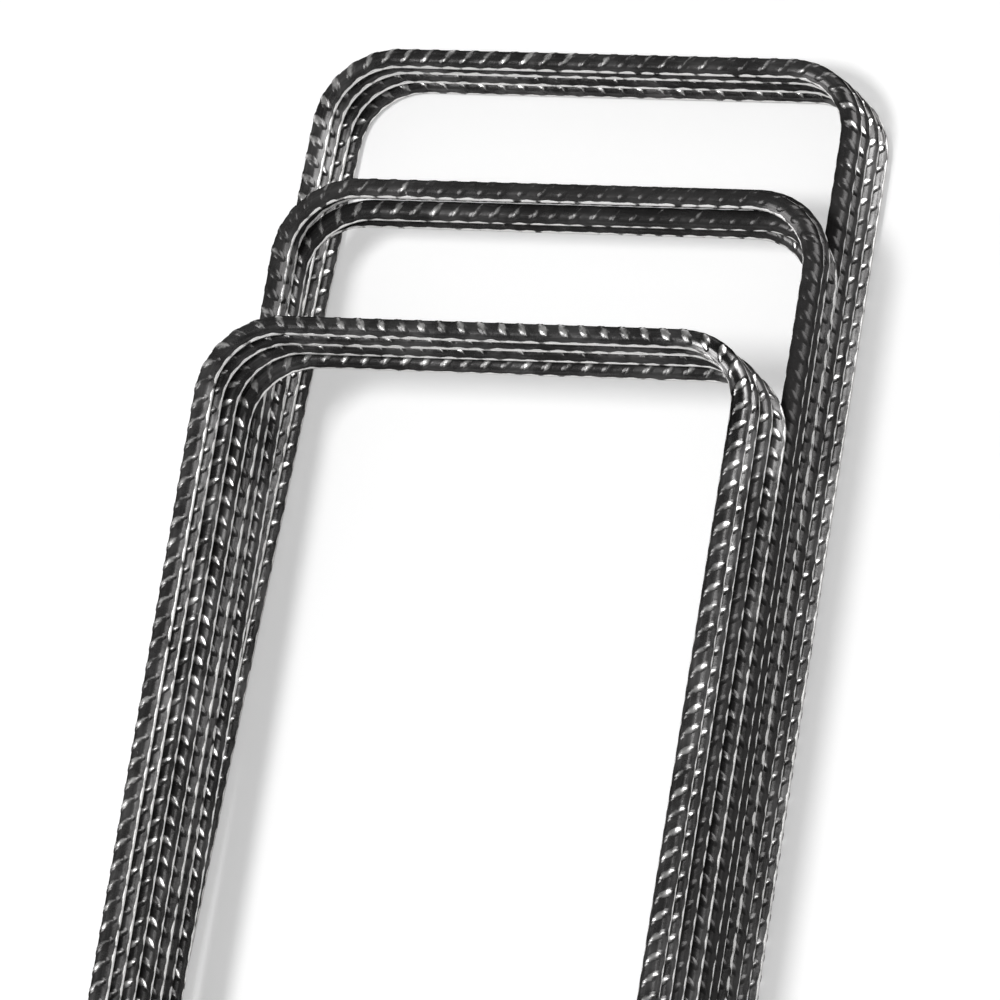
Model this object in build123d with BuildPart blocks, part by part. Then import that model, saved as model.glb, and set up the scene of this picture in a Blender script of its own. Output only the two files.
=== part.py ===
from build123d import *
from math import cos, pi, sin, sqrt
import os

# A bundle of twelve closed stirrups bent from ribbed reinforcing bar. They lie flat in three
# shingled groups of four, each group set nearer the front than the one under it.
# Millimetres, +Z up, +X along the short sides, +Y along the legs away from the front.

# Driving dimensions of one stirrup
bar_diameter = 8.0  # nominal size, the plain round that weighs the same as the ribbed bar
bar_sides = 10  # flats that the round section is drawn with, one of them facing the floor
stirrup_width = 230.0  # over the outside of the two legs
stirrup_length = 550.0  # over the outside of the two short sides
bend_inner_radius = 25.0  # half the bending pin, the same at every corner
end_projection = 115.0  # from the outside of the closing corner to each cut end
lap_gap = 0.3  # between the two ends where they lie side by side

# Driving dimensions of the pile
rib_gap = 0.6  # the rolled ribs hold stacked bars this far apart
group_step = 73.0  # each group lies this far in front of the group under it

# How each stirrup came to lie in its group, from the lowest up: sideways shift, shift away from
# the front, turn in degrees, and how many degrees its left leg has sprung open
back_lay = ((8.0, -1.0, 0.0, 2.2), (6.5, -0.5, 0.0, 2.0), (5.0, -0.5, 0.0, 1.7), (4.0, -1.5, 0.0, 1.5))
middle_lay = ((4.0, -1.5, 0.0, 0.0), (10.0, -1.5, 0.1, 0.0), (8.5, 4.0, 0.1, 0.0), (8.5, 0.5, 0.0, 0.0))
front_lay = ((7.0, -3.0, 0.0, 0.0), (4.0, -0.5, 0.1, 0.0), (2.0, 0.0, 0.3, 0.0), (0.0, 0.0, 0.0, 0.0))
groups = {"back": back_lay, "middle": middle_lay, "front": front_lay}

# Section of the bar, with the same area as its nominal round
corner_radius = bar_diameter / 2 * sqrt(2 * pi / (bar_sides * sin(2 * pi / bar_sides)))
flat_radius = corner_radius * cos(pi / bar_sides)
layer_pitch = 2 * flat_radius + rib_gap

# Corners of the bar's centreline
bend_radius = bend_inner_radius + bar_diameter / 2
lap_offset = 2 * corner_radius + lap_gap
leg_x = (stirrup_width - bar_diameter) / 2
far_y = (stirrup_length - bar_diameter) / 2
end_run = end_projection - bar_diameter / 2
inner_corner_x = lap_offset - leg_x
inner_side_y = lap_offset - far_y


def bar_corners(spring):
    """Yield the corners from the outer end, with its leg sprung open, round to the inner end."""
    swung = Pos(-leg_x, far_y) * Rot(0, 0, -spring)
    yield tuple((swung * Pos(end_run, -2 * far_y)).position)
    yield tuple((swung * Pos(0, -2 * far_y)).position)
    yield (-leg_x, far_y)
    yield (leg_x, far_y)
    yield (leg_x, inner_side_y)
    yield (inner_corner_x, inner_side_y)
    yield (inner_corner_x, inner_side_y + end_run)


def stirrups_laid():
    """Yield each stirrup's name, the place of its own centre, and its spring, from the floor up."""
    height = flat_radius
    for step, (group, lay) in enumerate(groups.items()):
        for layer, (sideways, away, turn, spring) in enumerate(lay, start=1):
            centre = (sideways, away - step * group_step, height)
            yield f"{group}_stirrup_{layer}", Location(centre, (0, 0, turn)), spring
            height += layer_pitch


# Each stirrup is one bar bent along its centreline, still where it was laid
stirrups = {}
for name, place, spring in stirrups_laid():
    with BuildPart() as stirrup:
        with BuildLine(Plane(place)) as centreline:
            FilletPolyline(*bar_corners(spring), radius=bend_radius)
        cut_end = Plane(centreline.line @ 0, x_dir=(0, 0, 1), z_dir=centreline.line % 0)
        with BuildSketch(cut_end):
            RegularPolygon(corner_radius, bar_sides, rotation=180 / bar_sides)
        sweep()
    stirrups[name] = stirrup.part

# The pile stands on the floor with the middle of its plan over the origin
plan_middle = Compound(list(stirrups.values())).bounding_box().center()
to_origin = Location((-plan_middle.X, -plan_middle.Y, 0))

os.makedirs("parts", exist_ok=True)
for name, laid in stirrups.items():
    placed = laid.moved(to_origin)
    placed.label = name
    export_step(placed, f"parts/{name}.step")
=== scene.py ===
# %% [markdown]
# # A bundle of rebar stirrups
#
# A stirrup is the closed hoop of thin ribbed bar that is tied round the long bars of a concrete
# beam. Twelve of them lie flat here, in three groups of four, each group a step nearer to us than
# the one under it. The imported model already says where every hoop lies, so this lesson adds what
# the eye looks for: the rolled ribs and the dark mill scale.

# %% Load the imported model
import math

import bmesh
import bpy
from mathutils import Matrix, Vector


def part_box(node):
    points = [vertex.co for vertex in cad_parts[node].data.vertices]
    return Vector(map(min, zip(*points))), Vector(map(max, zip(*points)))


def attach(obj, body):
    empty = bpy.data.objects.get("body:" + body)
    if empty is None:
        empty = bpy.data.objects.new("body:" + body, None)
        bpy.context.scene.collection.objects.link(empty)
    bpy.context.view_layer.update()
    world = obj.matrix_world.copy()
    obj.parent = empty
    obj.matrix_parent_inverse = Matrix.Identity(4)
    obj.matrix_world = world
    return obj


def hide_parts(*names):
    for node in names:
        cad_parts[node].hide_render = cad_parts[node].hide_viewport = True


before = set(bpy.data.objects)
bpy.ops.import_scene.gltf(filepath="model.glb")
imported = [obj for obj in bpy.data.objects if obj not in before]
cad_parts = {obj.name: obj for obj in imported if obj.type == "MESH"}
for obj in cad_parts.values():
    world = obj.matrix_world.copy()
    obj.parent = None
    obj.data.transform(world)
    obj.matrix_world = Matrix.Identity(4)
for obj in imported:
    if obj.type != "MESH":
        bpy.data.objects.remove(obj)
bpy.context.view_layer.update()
print("nodes:", ", ".join(sorted(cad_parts)))

# %% [markdown]
# ## The camera
#
# The photograph was taken from high up with a very long lens, and turned in the hand, so that the
# legs lean in the picture. Three angles and a distance say all of that. A camera could also be
# aimed with a Track To constraint, but a constraint cannot hold the turn about the line of sight.

# %% Camera at the photograph's viewing angle
PHOTO_SIDE = 1000  # pixels
FOCAL_LENGTH = 12000  # pixels
CAMERA_AROUND = math.radians(43.99)  # from the front towards the right
CAMERA_UP = math.radians(61.902)
CAMERA_ROLL = math.radians(-38.211)
CAMERA_DISTANCE = 4.82
LOOKED_AT_ASIDE = -0.03252  # from the middle of the topmost hoop
LOOKED_AT_AWAY = 0.25420
LOOKED_AT_HEIGHT = -0.04134

camera_data = bpy.data.cameras.new("photo_camera")
camera_data.sensor_width = 36.0
camera_data.lens = camera_data.sensor_width * FOCAL_LENGTH / PHOTO_SIDE
camera_data.clip_end = 100.0
camera = bpy.data.objects.new("photo_camera", camera_data)
bpy.context.scene.collection.objects.link(camera)
bpy.context.scene.camera = camera

top_low, top_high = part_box("front_stirrup_4")
top_middle = (top_low + top_high) / 2
looked_at = Vector((top_middle.x + LOOKED_AT_ASIDE, top_middle.y + LOOKED_AT_AWAY, LOOKED_AT_HEIGHT))
aim = (
    Matrix.Rotation(CAMERA_AROUND, 4, "Z")
    @ Matrix.Rotation(math.pi / 2 - CAMERA_UP, 4, "X")
    @ Matrix.Rotation(CAMERA_ROLL, 4, "Z")
)
camera.matrix_world = Matrix.Translation(looked_at) @ aim @ Matrix.Translation((0, 0, CAMERA_DISTANCE))
print("camera at", [round(v, 3) for v in camera.matrix_world.translation])

# %% [markdown]
# ## A small tool for node trees
#
# Node trees get hard to read when every sum is four lines of code. This class wraps one socket, so
# that an expression such as `0.2 + grain * 0.1` adds its Math nodes by itself. Every other node goes
# through one method, which takes the node's type, its settings and what feeds its sockets.


# %% Wire, a socket that can stand in a sum
class Wire:
    """One socket of a node tree. Each sum with it adds a Math node and gives that node's output."""

    def __init__(self, socket):
        self.socket = socket

    @classmethod
    def node(cls, tree, kind, settings=None, feeds=None, output=0):
        """Add a node of any kind, set it, feed its sockets, and give one of its outputs."""
        made = tree.nodes.new(kind)
        for name, value in (settings or {}).items():
            setattr(made, name, value)
        for socket, value in (feeds or {}).items():
            for one in value if isinstance(value, list) else [value]:
                if isinstance(one, cls):
                    tree.links.new(one.socket, made.inputs[socket])
                else:
                    made.inputs[socket].default_value = one
        return cls(made.outputs[output])

    def also(self, output):
        """Another output of the same node."""
        return Wire(self.socket.node.outputs[output])

    def maths(self, operation, *others):
        """What a Math node makes of this wire and the others."""
        tree = self.socket.id_data
        feeds = dict(enumerate((self, *others)))
        return Wire.node(tree, "ShaderNodeMath", {"operation": operation}, feeds)

    def __add__(self, other):
        return self.maths("ADD", other)

    def __radd__(self, other):
        return self.maths("ADD", other)

    def __sub__(self, other):
        return self.maths("SUBTRACT", other)

    def __mul__(self, other):
        return self.maths("MULTIPLY", other)

    def __truediv__(self, other):
        return self.maths("DIVIDE", other)

    def between(self, low, high):
        """0 below low, 1 above high, and a smooth rise from one to the other."""
        tree = self.socket.id_data
        settings = {"interpolation_type": "SMOOTHSTEP"}
        return Wire.node(tree, "ShaderNodeMapRange", settings, {0: self, 1: low, 2: high})


def named_attribute(tree, name, output="Fac"):
    """What a mesh stores under that name, for a material to read."""
    return Wire.node(tree, "ShaderNodeAttribute", {"attribute_name": name}, output=output)


def mix_colours(tree, share, first, second):
    """A colour that goes from first to second as share goes from 0 to 1."""
    settings = {"data_type": "RGBA"}
    return Wire.node(tree, "ShaderNodeMix", settings, {0: share, 6: first, 7: second}, output=2)


print("wires ready")

# %% [markdown]
# ## Mill scale
#
# Bar that leaves the rolling mill hot grows a thin skin of dark oxide, almost black, with a dull
# shine. Handling rubs the ribs through to bright steel. A painted image could show that, but numbers
# stored on the mesh do it at any size: how far a point stands out of the core, whether it is on a
# straight rib, how far along the bar it is, and a tone. The line along a straight rib is bare steel
# kept white from every side, so it is wear and a painted highlight at once. The distance along the
# bar breaks that line once for every slanting rib that runs into it. The tone makes the scale greyer
# where it is high; on the right leg it is also painted shade or a painted highlight, and at the far
# right bend a painted highlight.

# %% Dark mill scale with bare rib tops, painted highlights and painted shade
SCALE_BLACK = (0.040, 0.039, 0.039, 1.0)
SCALE_GREY = (0.146, 0.144, 0.144, 1.0)
WORN_STEEL_AND_HIGHLIGHT = (0.94, 0.93, 0.92, 1.0)
SHEARED_STEEL = (0.30, 0.29, 0.28, 1.0)
RIB_PITCH = 0.0084  # from one slanting rib to the next
FULLY_HANDLED = 0.9  # the tone from which on the ribs are rubbed as far as they go


def make_mill_scale():
    """Dark scale, greyer where the tone is high; bright steel on ribs, partly a painted highlight."""
    material = bpy.data.materials.new("dark_mill_scale")
    material.use_nodes = True
    tree = material.node_tree
    shader = tree.nodes["Principled BSDF"]
    shader.inputs["IOR"].default_value = 1.0  # all of the shine is metallic
    shader.inputs["Specular Tint"].default_value = (0.15, 0.15, 0.15, 1.0)  # little at the edges
    stands_out = named_attribute(tree, "stands_out")
    straight_rib = named_attribute(tree, "straight_rib")
    cut_face = named_attribute(tree, "cut_face")
    tone = named_attribute(tree, "tone")
    rib_start = named_attribute(tree, "rib_start")
    along_bar = named_attribute(tree, "along_bar", output="Vector")
    place = Wire.node(tree, "ShaderNodeTexCoord", output="Object")

    def noise(where, scale, detail=4.0, rough=0.55):
        feeds = {"Vector": where, "Scale": scale, "Detail": detail, "Roughness": rough}
        return Wire.node(tree, "ShaderNodeTexNoise", {"noise_dimensions": "3D"}, feeds)

    stretched = Wire.node(
        tree, "ShaderNodeMapping", {}, {"Vector": along_bar, "Scale": (0.10, 1.0, 1.0)}
    )
    patches = noise(place, 55.0).between(0.42, 0.68)
    streaks = noise(stretched, 900.0, 3.0).between(0.40, 0.72)
    grain = noise(place, 2600.0, 3.0, 0.65)
    rub = noise(place, 160.0, 5.0, 0.6)

    along = Wire.node(tree, "ShaderNodeSeparateXYZ", {}, {0: along_bar})
    beat = ((along - rib_start) * (2 * math.pi / RIB_PITCH)).maths("COSINE")
    # Low tone leaves the ribs less bright; on the right legs that is painted shade
    handling_and_painted_shade = ((tone - FULLY_HANDLED) * 0.3).maths("MINIMUM", 0.0)
    worn_slants = (stands_out * 0.76 + (rub - 0.5) * 0.7 + handling_and_painted_shade).between(0.58, 0.84)
    # Straight-rib line: bare steel, and a painted highlight that stays white from every side
    worn_lines_and_highlight = (straight_rib + (rub - 0.5) * 1.8 + beat * 0.26 + handling_and_painted_shade * 0.5).between(0.52, 0.82)
    worn_and_highlight = worn_slants.maths("MAXIMUM", worn_lines_and_highlight)
    scale_share = (patches * 0.55 + streaks * 0.35) * tone
    skin = mix_colours(tree, scale_share, SCALE_BLACK, SCALE_GREY)
    rubbed_and_highlit = mix_colours(tree, worn_and_highlight, skin, WORN_STEEL_AND_HIGHLIGHT)
    colour = mix_colours(tree, cut_face, rubbed_and_highlit, SHEARED_STEEL)
    tree.links.new(colour.socket, shader.inputs["Base Color"])

    # Less metal on the straight-rib line keeps it white from every side, a painted highlight
    metal = 0.38 + tone * 0.28 + worn_slants * 0.30 - worn_lines_and_highlight * 0.30
    tree.links.new(metal.socket, shader.inputs["Metallic"])
    dull = 0.20 + grain * 0.12 + worn_and_highlight * 0.04 + patches * 0.06
    tree.links.new(dull.socket, shader.inputs["Roughness"])

    dents = noise(place, 420.0, 2.0, 0.5)
    relief = grain * 0.25 + dents * 0.75
    feeds = {"Height": relief, "Strength": 0.25, "Distance": 0.0004}
    bump = Wire.node(tree, "ShaderNodeBump", {}, feeds)
    tree.links.new(bump.socket, shader.inputs["Normal"])
    return material


mill_scale = make_mill_scale()
print("finish:", mill_scale.name, "with", len(mill_scale.node_tree.nodes), "nodes")

# %% [markdown]
# ## What the rolls press into the bar
#
# The rolls leave two straight ribs along the bar, one on each side, and between them two rows of
# slanting ribs. The rows slant opposite ways, so a bar seen from the side looks like a herringbone.
# A slanting rib is a crescent: tallest in the middle, running out to nothing near the straight
# ribs. It is drawn once for each row, as a small closed mesh, and the tree below repeats it.

# %% Section of the core, with its two straight ribs
CORE_RADIUS = 0.00382
LONG_RIB_HEIGHT = 0.00040
LONG_RIB_FOOT = math.radians(15)  # half of the angle that the rib takes up at its foot
LONG_RIB_CROWN = math.radians(8)
ARC_POINTS = 7  # on the core between the two straight ribs


def core_section():
    """(angle, radius) of the points round the section, from the +Y straight rib on."""
    tip = CORE_RADIUS + LONG_RIB_HEIGHT
    points = []
    for side in (0.0, math.pi):
        for angle, radius in (
            (-LONG_RIB_FOOT, CORE_RADIUS),
            (-LONG_RIB_CROWN, tip),
            (LONG_RIB_CROWN, tip),
            (LONG_RIB_FOOT, CORE_RADIUS),
        ):
            points.append((side + angle, radius))
        for step in range(1, ARC_POINTS + 1):
            share = step / (ARC_POINTS + 1)
            angle = LONG_RIB_FOOT + share * (math.pi - 2 * LONG_RIB_FOOT)
            points.append((side + angle, CORE_RADIUS))
    return points


section_curve = bpy.data.curves.new("core_section", "CURVE")
section_curve.dimensions = "2D"
section_spline = section_curve.splines.new("POLY")
section_points = core_section()
section_spline.points.add(len(section_points) - 1)
for point, (angle, radius) in zip(section_spline.points, section_points):
    point.co = (radius * math.cos(angle), radius * math.sin(angle), 0.0, 1.0)
section_spline.use_cyclic_u = True
section = bpy.data.objects.new("core_section", section_curve)
bpy.context.scene.collection.objects.link(section)
print("section of", len(section_points), "points")

# %% One slanting rib for each row
RIB_HEIGHT = 0.00044
RIB_SINK = 0.00030  # how deep its foot lies in the core
RIB_FOOT_WIDTH = 0.0047
RIB_SHOULDER_WIDTH = 0.0027
RIB_SLANT = math.radians(54)  # between the rib and the bar
RIB_REACH = math.radians(74)  # from its middle to each end, round the bar
RIB_STATIONS = 9
RIB_END_SINK = 0.00012  # how deep its crown lies in the core at each end
RIB_END_WIDTH = 0.45  # of its width in the middle
RIB_SHOULDER_RISE = 0.78  # of the way from its foot to its crown


def rib_ring(share, hand):
    """The five corners of the rib's section at share, from -1 at one end to 1 at the other."""
    swell = math.sqrt(max(0.0, 1 - share * share))
    foot = CORE_RADIUS - RIB_SINK
    crown = CORE_RADIUS - RIB_END_SINK + (RIB_HEIGHT + RIB_END_SINK) * swell
    shoulder = foot + RIB_SHOULDER_RISE * (crown - foot)
    thin = RIB_END_WIDTH + (1 - RIB_END_WIDTH) * swell
    around = share * RIB_REACH
    ahead = hand * around * CORE_RADIUS / math.tan(RIB_SLANT)
    ring = []
    for offset, radius in (
        (-RIB_FOOT_WIDTH / 2, foot),
        (-RIB_SHOULDER_WIDTH / 2, shoulder),
        (0.0, crown),
        (RIB_SHOULDER_WIDTH / 2, shoulder),
        (RIB_FOOT_WIDTH / 2, foot),
    ):
        angle = around - hand * thin * offset * math.cos(RIB_SLANT) / CORE_RADIUS
        x = ahead + thin * offset * math.sin(RIB_SLANT)
        ring.append(Vector((x, radius * math.sin(angle), radius * math.cos(angle))))
    return ring


def make_rib(name, hand):
    """A closed crescent over the top of a bar along X; hand 1 or -1 says which way it slants."""
    made = bmesh.new()
    shares = [2 * step / (RIB_STATIONS - 1) - 1 for step in range(RIB_STATIONS)]
    rings = [[made.verts.new(co) for co in rib_ring(share, hand)] for share in shares]
    for near, far in zip(rings, rings[1:]):
        for corner in range(len(near)):
            after = (corner + 1) % len(near)
            made.faces.new((near[corner], near[after], far[after], far[corner]))
    made.faces.new(rings[0])
    made.faces.new(rings[-1])
    bmesh.ops.recalc_face_normals(made, faces=made.faces)
    mesh = bpy.data.meshes.new(name)
    made.to_mesh(mesh)
    made.free()
    rib = bpy.data.objects.new(name, mesh)
    bpy.context.scene.collection.objects.link(rib)
    return rib


right_rib = make_rib("rib_leaning_right", 1)
left_rib = make_rib("rib_leaning_left", -1)
print("ribs of", len(right_rib.data.polygons), "faces")

# %% [markdown]
# ## Rolled straight, then bent
#
# The tree follows the real work. It rolls a straight bar along X, with its ribs, then bends it: each
# point looks up the place on the centreline as far along as itself and moves there. Sweeping the
# core along the bent line and setting stiff ribs on it would be shorter, but the ribs would lift
# off the core in the bends. Here they stretch on the outside and crowd on the inside, as real
# ones do. While the bar is still straight, it stores what the finish reads.

# %% Geometry Nodes tree for one bent bar
RING_SPACING = 0.0040
BEND_STEPS = 14
BARE_END = 0.003  # no slanting rib starts nearer to the cut end than this
JUST_OUT = 0.00005  # a point stands out once it is this far off the core
CUT_FACING = 0.95  # along the bar, of a cut face

# Metres along the bar: where the left leg's tone turns into the right leg's, where it turns back,
# and where the bar goes into and out of the far right bend. The right leg's tone darkens its scale
# as painted shade, or lightens it as a painted highlight, and the far right bend gets greyer scale
# as a painted highlight.
TONE_TURNS = (0.60, 0.95)
TONE_RETURNS = (1.36, 1.56)
BEND_STARTS = (0.80, 0.84)
BEND_ENDS = (0.86, 0.91)
# How much greyer the far right bend's scale is: a painted highlight
BEND_PAINTED_HIGHLIGHT = 0.2

bar_tree = bpy.data.node_groups.new("ribbed_bar", "GeometryNodeTree")
bar_inputs = {}


def tree_input(name, kind, value=None):
    """A named input of the tree, and the wire that leads from it."""
    socket = bar_tree.interface.new_socket(name, in_out="INPUT", socket_type="NodeSocket" + kind)
    if value is not None:
        socket.default_value = value
    bar_inputs[name] = socket.identifier


tree_input("Centreline", "Geometry")
tree_input("Section", "Object")
tree_input("First Rib", "Object")
tree_input("Second Rib", "Object")
tree_input("Bend Radius", "Float", 0.029)
tree_input("Rib Pitch", "Float", RIB_PITCH)
tree_input("Rib Start", "Float", 0.004)
tree_input("Roll", "Float", 0.0)
tree_input("Twist", "Float", 0.0)
tree_input("Seed", "Float", 0.0)
tree_input("Tone", "Float", 1.0)
tree_input("Right Tone", "Float", 1.0)
tree_input("Finish", "Material")
bar_tree.interface.new_socket("Bent Bar", in_out="OUTPUT", socket_type="NodeSocketGeometry")
given = bar_tree.nodes.new("NodeGroupInput")
result = bar_tree.nodes.new("NodeGroupOutput")


def given_wire(name):
    return Wire(given.outputs[name])


def gn(kind, settings=None, feeds=None, output=0):
    return Wire.node(bar_tree, kind, settings, feeds, output)


def vector(x=0.0, y=0.0, z=0.0):
    return gn("ShaderNodeCombineXYZ", {}, {0: x, 1: y, 2: z})


def store(geometry, name, kind, value, domain="POINT"):
    settings = {"data_type": kind, "domain": domain}
    feeds = {"Geometry": geometry, "Name": name, "Value": value}
    return gn("GeometryNodeStoreNamedAttribute", settings, feeds)


line = gn("GeometryNodeMeshToCurve", {}, {0: given_wire("Centreline")})
bent_line = gn(
    "GeometryNodeFilletCurve",
    {"mode": "POLY"},
    {"Curve": line, "Count": BEND_STEPS, "Radius": given_wire("Bend Radius")},
)
bar_length = gn("GeometryNodeCurveLength", {}, {0: bent_line})

# The core, straight along X
straight = gn("GeometryNodeCurvePrimitiveLine", {"mode": "POINTS"}, {"End": vector(bar_length)})
rings = gn("GeometryNodeResampleCurve", {"mode": "LENGTH"}, {"Curve": straight, "Length": RING_SPACING})
level = gn("GeometryNodeSetCurveNormal", {"mode": "Z_UP"}, {"Curve": rings})
core_outline = gn("GeometryNodeObjectInfo", {}, {"Object": given_wire("Section")}, "Geometry")
core = gn(
    "GeometryNodeCurveToMesh",
    {},
    {"Curve": level, "Profile Curve": core_outline, "Fill Caps": True},
)


def rib_row(rib_name, shift, turn):
    """One row of slanting ribs on the straight bar, turned round it by that angle."""
    pitch = given_wire("Rib Pitch")
    start = given_wire("Rib Start") + pitch * shift
    count = ((bar_length - start - BARE_END) / pitch).maths("FLOOR") + 1
    places = gn(
        "GeometryNodeMeshLine",
        {"mode": "OFFSET", "count_mode": "TOTAL"},
        {"Count": count, "Start Location": vector(start), "Offset": vector(pitch)},
    )
    shape = gn("GeometryNodeObjectInfo", {}, {"Object": given_wire(rib_name)}, "Geometry")
    feeds = {"Points": places, "Instance": shape, "Rotation": (turn, 0.0, 0.0)}
    return gn("GeometryNodeInstanceOnPoints", {}, feeds)


# What the finish reads, stored while the bar is straight
here = gn("GeometryNodeInputPosition")
x, y, z = (gn("ShaderNodeSeparateXYZ", {}, {0: here}, axis) for axis in "XYZ")
from_axis = (y * y + z * z).maths("SQRT")
stands_out = from_axis.between(CORE_RADIUS + JUST_OUT, CORE_RADIUS + 0.8 * RIB_HEIGHT)
on_straight_rib = from_axis.maths("GREATER_THAN", CORE_RADIUS + LONG_RIB_HEIGHT / 4)
core = store(core, "straight_rib", "FLOAT", on_straight_rib)
first_row = rib_row("First Rib", 0.0, 0.0)
second_row = rib_row("Second Rib", 0.5, math.pi)
rolled = gn("GeometryNodeJoinGeometry", {}, {0: [second_row, first_row, core]})
rolled = gn("GeometryNodeRealizeInstances", {}, {0: rolled})
round_bar = y.maths("ARCTAN2", z) * CORE_RADIUS
facing = gn("ShaderNodeSeparateXYZ", {}, {0: gn("GeometryNodeInputNormal")}, "X")
cut_face = facing.maths("ABSOLUTE").maths("GREATER_THAN", CUT_FACING)
rolled = store(rolled, "stands_out", "FLOAT", stands_out)
rolled = store(rolled, "along_bar", "FLOAT_VECTOR", vector(x, round_bar, given_wire("Seed")))
rolled = store(rolled, "cut_face", "FLOAT", cut_face, domain="FACE")
left_tone = given_wire("Tone")
right_tone = given_wire("Right Tone")
right_leg = x.between(*TONE_TURNS) - x.between(*TONE_RETURNS)
painted_bend_highlight = x.between(*BEND_STARTS) - x.between(*BEND_ENDS)
# The right leg's tone is painted shade or a painted highlight, and the bend's extra tone a painted
# highlight
tone = left_tone + right_leg * (right_tone - left_tone) + painted_bend_highlight * (right_tone + BEND_PAINTED_HIGHLIGHT)
rolled = store(rolled, "tone", "FLOAT", tone)
rolled = store(rolled, "rib_start", "FLOAT", given_wire("Rib Start"))

# A bar is never quite true: its ribs wander slowly round it
wander_at = vector(x, given_wire("Seed"))
wander = gn("ShaderNodeTexNoise", {}, {"Vector": wander_at, "Scale": 3.0, "Detail": 0.0})
roll = given_wire("Roll") + (wander - 0.5) * given_wire("Twist")
cosine, sine = roll.maths("COSINE"), roll.maths("SINE")
side = y * cosine - z * sine
up = y * sine + z * cosine

# Bending: the place on the centreline, then sideways and up from it
at = gn("GeometryNodeSampleCurve", {"mode": "LENGTH"}, {"Curves": bent_line, "Length": x}, "Position")
at_x, at_y, at_z = (gn("ShaderNodeSeparateXYZ", {}, {0: at}, axis) for axis in "XYZ")
way_x, way_y = (gn("ShaderNodeSeparateXYZ", {}, {0: at.also("Tangent")}, axis) for axis in "XY")
bent_place = vector(at_x - way_y * side, at_y + way_x * side, at_z + up)
bent = gn("GeometryNodeSetPosition", {}, {"Geometry": rolled, "Position": bent_place})
smooth = gn("GeometryNodeSetShadeSmooth", {}, {"Geometry": bent})
whole = gn("GeometryNodeRealizeInstances", {}, {0: smooth})
finished = gn("GeometryNodeSetMaterial", {}, {"Geometry": whole, "Material": given_wire("Finish")})
bar_tree.links.new(finished.socket, result.inputs[0])
print("tree of", len(bar_tree.nodes), "nodes")

# %% [markdown]
# ## Twelve bent bars
#
# Each hoop starts as seven points: the corners of its centreline, from the end that lies outside
# round to the end that lies inside. The two ends lap side by side at one front corner, so a hoop
# can spring open there, which swings its left leg out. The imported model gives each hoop's place. It
# is read from the right and far sides, because those stay where they are when the left leg swings.

# %% Corners of one hoop
BAR = 0.008
HALF_BAR = 0.00414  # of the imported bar, which is drawn with flats, over its edges
HOOP_WIDTH = 0.230
HOOP_LENGTH = 0.550
END_RUN = 0.115 - BAR / 2  # from the closing corner to each cut end
LAP = 0.00857  # between the two ends, middle to middle
INNER_BEND = 0.025

leg_x = (HOOP_WIDTH - BAR) / 2
far_y = (HOOP_LENGTH - BAR) / 2
inner_x = LAP - leg_x
inner_y = LAP - far_y


def hoop_corners(spring):
    """The corners from the outer end, its leg sprung open by that angle, to the inner end."""
    swing = Matrix.Translation((-leg_x, far_y, 0)) @ Matrix.Rotation(-spring, 4, "Z")
    return [
        swing @ Vector((END_RUN, -2 * far_y, 0)),
        swing @ Vector((0, -2 * far_y, 0)),
        Vector((-leg_x, far_y, 0)),
        Vector((leg_x, far_y, 0)),
        Vector((leg_x, inner_y, 0)),
        Vector((inner_x, inner_y, 0)),
        Vector((inner_x, inner_y + END_RUN, 0)),
    ]


def hoop_place(node, turn):
    """Where the hoop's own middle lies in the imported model, with its turn on the floor."""
    low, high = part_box(node)
    turned = Matrix.Rotation(turn, 4, "Z")
    corners = [turned @ corner for corner in hoop_corners(0.0)]
    right = max(corner.x for corner in corners) + HALF_BAR
    far = max(corner.y for corner in corners) + HALF_BAR
    return Matrix.Translation((high.x - right, high.y - far, (low.z + high.z) / 2)) @ turned


print("hoop of", len(hoop_corners(0.0)), "corners")

# %% Lay, roll and finish every hoop
# For each hoop from the lowest of its group: degrees turned on the floor, degrees sprung open,
# degrees that its ribs are rolled round the bar, and the tone of its scale, first on the left leg,
# then on the right one: a higher tone is greyer scale with brighter ribs, and on the right leg the
# number also paints shade where it is low and a highlight where it is high
hoop_lay = {
    "back": (
        (0.0, 2.2, 188, 1.0, 1.0),
        (0.0, 2.0, 172, 1.0, 0.6),
        (0.0, 1.7, -14, 1.0, 0.3),
        (0.0, 1.5, -12, 1.0, 0.1),
    ),
    "middle": (
        (0.0, 0.0, 175, 0.9, 0.1),
        (0.1, 0.0, 10, 0.8, 0.0),
        (0.1, 0.0, -8, 0.2, 0.0),
        (0.0, 0.0, -12, 0.5, 0.0),
    ),
    "front": (
        (0.0, 0.0, 6, 1.0, 0.5),
        (0.1, 0.0, 178, 1.0, 0.3),
        (0.3, 0.0, 172, 1.0, 1.0),
        (0.0, 0.0, 168, 0.75, 1.0),
    ),
}
WANDER = math.radians(24)  # how far the ribs turn round a bar on its way
SHARP = math.radians(75)  # edges sharper than this stay sharp
FIRST_RIB = 0.0035  # from the outer cut end
RIB_SHIFT = 0.0007  # from hoop to hoop, so that the ribs of stacked bars don't line up
SEED_STEP = 1.37


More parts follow.
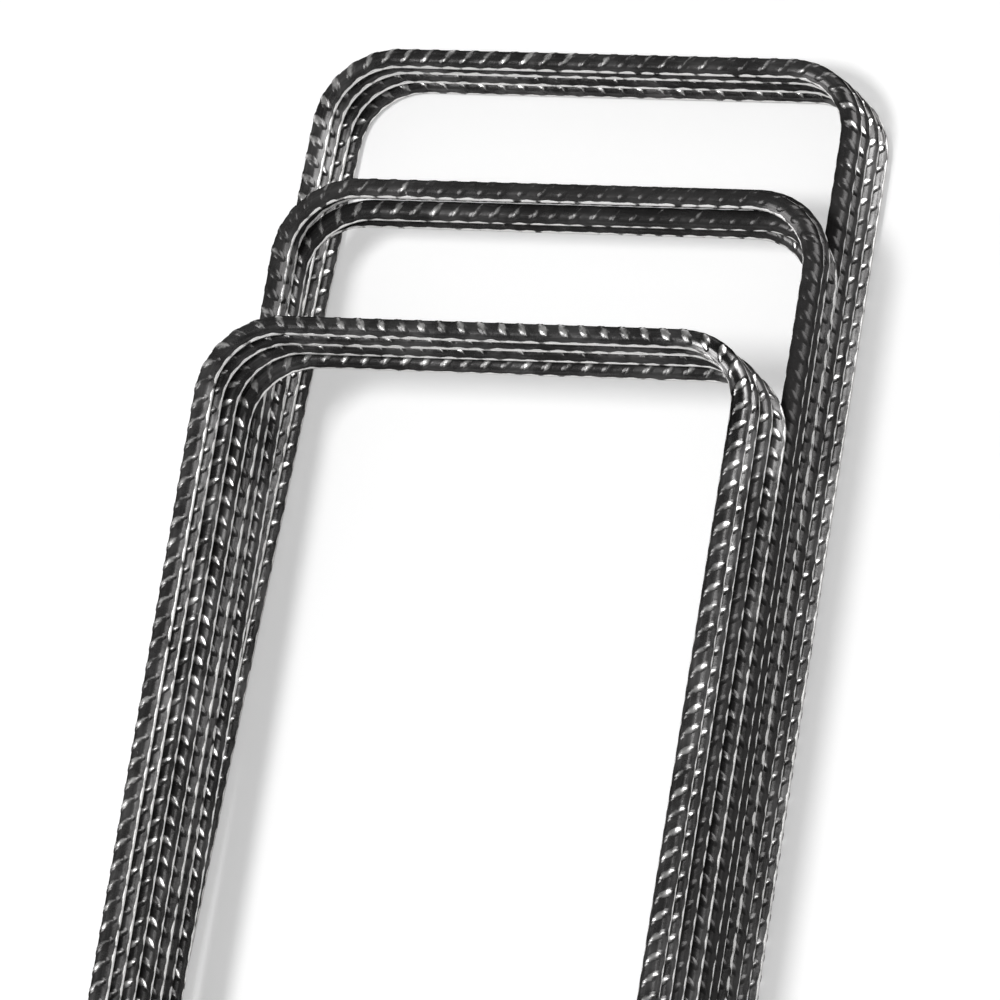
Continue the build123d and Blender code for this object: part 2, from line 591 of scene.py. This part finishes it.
def bend_hoop(node, turn, spring, roll, tone, right_tone, seed):
    """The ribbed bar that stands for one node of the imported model."""
    place = hoop_place(node, math.radians(turn))
    mesh = bpy.data.meshes.new(node + "_centreline")
    corners = [place @ corner for corner in hoop_corners(math.radians(spring))]
    mesh.from_pydata(corners, [(i, i + 1) for i in range(len(corners) - 1)], [])
    hoop = bpy.data.objects.new(node + "_bar", mesh)
    bpy.context.scene.collection.objects.link(hoop)
    rolling = hoop.modifiers.new("rolled_and_bent", "NODES")
    rolling.node_group = bar_tree
    for name, value in (
        ("Section", section),
        ("First Rib", right_rib),
        ("Second Rib", left_rib),
        ("Bend Radius", INNER_BEND + BAR / 2),
        ("Rib Pitch", RIB_PITCH),
        ("Rib Start", FIRST_RIB + RIB_SHIFT * (seed % 5)),
        ("Roll", math.radians(roll)),
        ("Twist", WANDER),
        ("Seed", SEED_STEP * seed),
        ("Tone", tone),
        ("Right Tone", right_tone),
        ("Finish", mill_scale),
    ):
        rolling[bar_inputs[name]] = value
    graph = bpy.context.evaluated_depsgraph_get()
    solid = bpy.data.meshes.new_from_object(
        hoop.evaluated_get(graph), preserve_all_data_layers=True, depsgraph=graph
    )
    hoop.modifiers.remove(rolling)
    hoop.data = solid
    solid.name = node + "_bar"
    solid.set_sharp_from_angle(angle=SHARP)
    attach(hoop, "root")
    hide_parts(node)
    return hoop


hoops = []
for group, lay in hoop_lay.items():
    for layer, looks in enumerate(lay, start=1):
        hoops.append(bend_hoop(f"{group}_stirrup_{layer}", *looks, seed=len(hoops) + 1))
for pattern in (section, right_rib, left_rib):
    bpy.data.objects.remove(pattern)
triangles = [sum(len(p.vertices) - 2 for p in hoop.data.polygons) for hoop in hoops]
lowest_rib = min(v.co.z for hoop in hoops for v in hoop.data.vertices)
print(len(hoops), "hoops,", sum(triangles), "triangles, largest", max(triangles))
print("lowest rib at", round(lowest_rib * 1000, 2), "mm")

# %% [markdown]
# ## Floor and light
#
# The photograph has a white ground with a narrow shadow beside each bar. One small lamp almost
# overhead makes that shadow, and an even grey sky fills it. Two broad lamps, one low at the back and
# one on the left, only show in the bars, as glints. The floor is pale grey and glows a little for the
# camera and for reflections, so that it comes out white and the shadow stays on it.

# %% Floor
FLOOR_SIDE = 12.0
FLOOR_GREY = (0.62, 0.62, 0.62, 1.0)
FLOOR_GLOW = 0.42

floor_mesh = bpy.data.meshes.new("floor")
half = FLOOR_SIDE / 2
floor_corners = [(x * half, y * half, lowest_rib) for x, y in ((-1, -1), (1, -1), (1, 1), (-1, 1))]
floor_mesh.from_pydata(floor_corners, [], [(0, 1, 2, 3)])
floor = bpy.data.objects.new("floor", floor_mesh)
bpy.context.scene.collection.objects.link(floor)
pale = bpy.data.materials.new("pale_floor")
pale.use_nodes = True
pale_tree = pale.node_tree
pale_tree.nodes.remove(pale_tree.nodes["Principled BSDF"])


def seen_directly(tree):
    """1 for what the camera, a reflection or a see-through surface looks at, else 0."""
    camera_ray = Wire.node(tree, "ShaderNodeLightPath", output="Is Camera Ray")
    mirrored = camera_ray + camera_ray.also("Is Glossy Ray") + camera_ray.also("Is Transmission Ray")
    return mirrored.maths("MINIMUM", 1.0)


matt = Wire.node(pale_tree, "ShaderNodeBsdfDiffuse", {}, {"Color": FLOOR_GREY})
glow = Wire.node(pale_tree, "ShaderNodeEmission", {}, {"Strength": seen_directly(pale_tree) * FLOOR_GLOW})
both = Wire.node(pale_tree, "ShaderNodeAddShader", {}, {0: matt, 1: glow})
pale_tree.links.new(both.socket, pale_tree.nodes["Material Output"].inputs["Surface"])
floor_mesh.materials.append(pale)
print("floor", FLOOR_SIDE, "m wide")

# %% Lamps and sky
SKY_FILL = 0.42  # on matt surfaces
SKY_SEEN = 0.12  # in reflections


def make_lamp(name, towards, distance, size, power):
    """A square lamp that shines on the pile from that direction; metres and watts."""
    data = bpy.data.lights.new(name, "AREA")
    data.shape = "SQUARE"
    data.size = size
    data.energy = power
    lamp = bpy.data.objects.new(name, data)
    bpy.context.scene.collection.objects.link(lamp)
    turn = towards.to_track_quat("Z", "Y").to_matrix().to_4x4()
    lamp.matrix_world = Matrix.Translation(towards.normalized() * distance) @ turn
    return lamp


key = make_lamp("key_lamp", Vector((-0.08, -0.20, 0.97)), 2.2, 0.36, 34.0)
key.visible_glossy = False
glints = [
    make_lamp("back_right_lamp", Vector((0.62, 0.70, 0.34)), 1.8, 1.4, 50.0),
    make_lamp("left_lamp", Vector((-0.78, -0.28, 0.56)), 1.8, 1.2, 55.0),
]
for lamp in glints:
    lamp.visible_diffuse = False

sky = bpy.data.worlds.new("studio_sky")
bpy.context.scene.world = sky
sky.use_nodes = True
sky_tree = sky.node_tree
background = sky_tree.nodes["Background"]
background.inputs["Color"].default_value = (1.0, 1.0, 1.0, 1.0)
fills = Wire.node(sky_tree, "ShaderNodeLightPath", output="Is Diffuse Ray")
sky_strength = SKY_SEEN + fills * (SKY_FILL - SKY_SEEN)
sky_tree.links.new(sky_strength.socket, background.inputs["Strength"])
bpy.context.scene.view_settings.view_transform = "Standard"
print("lamps:", key.name, *[lamp.name for lamp in glints])
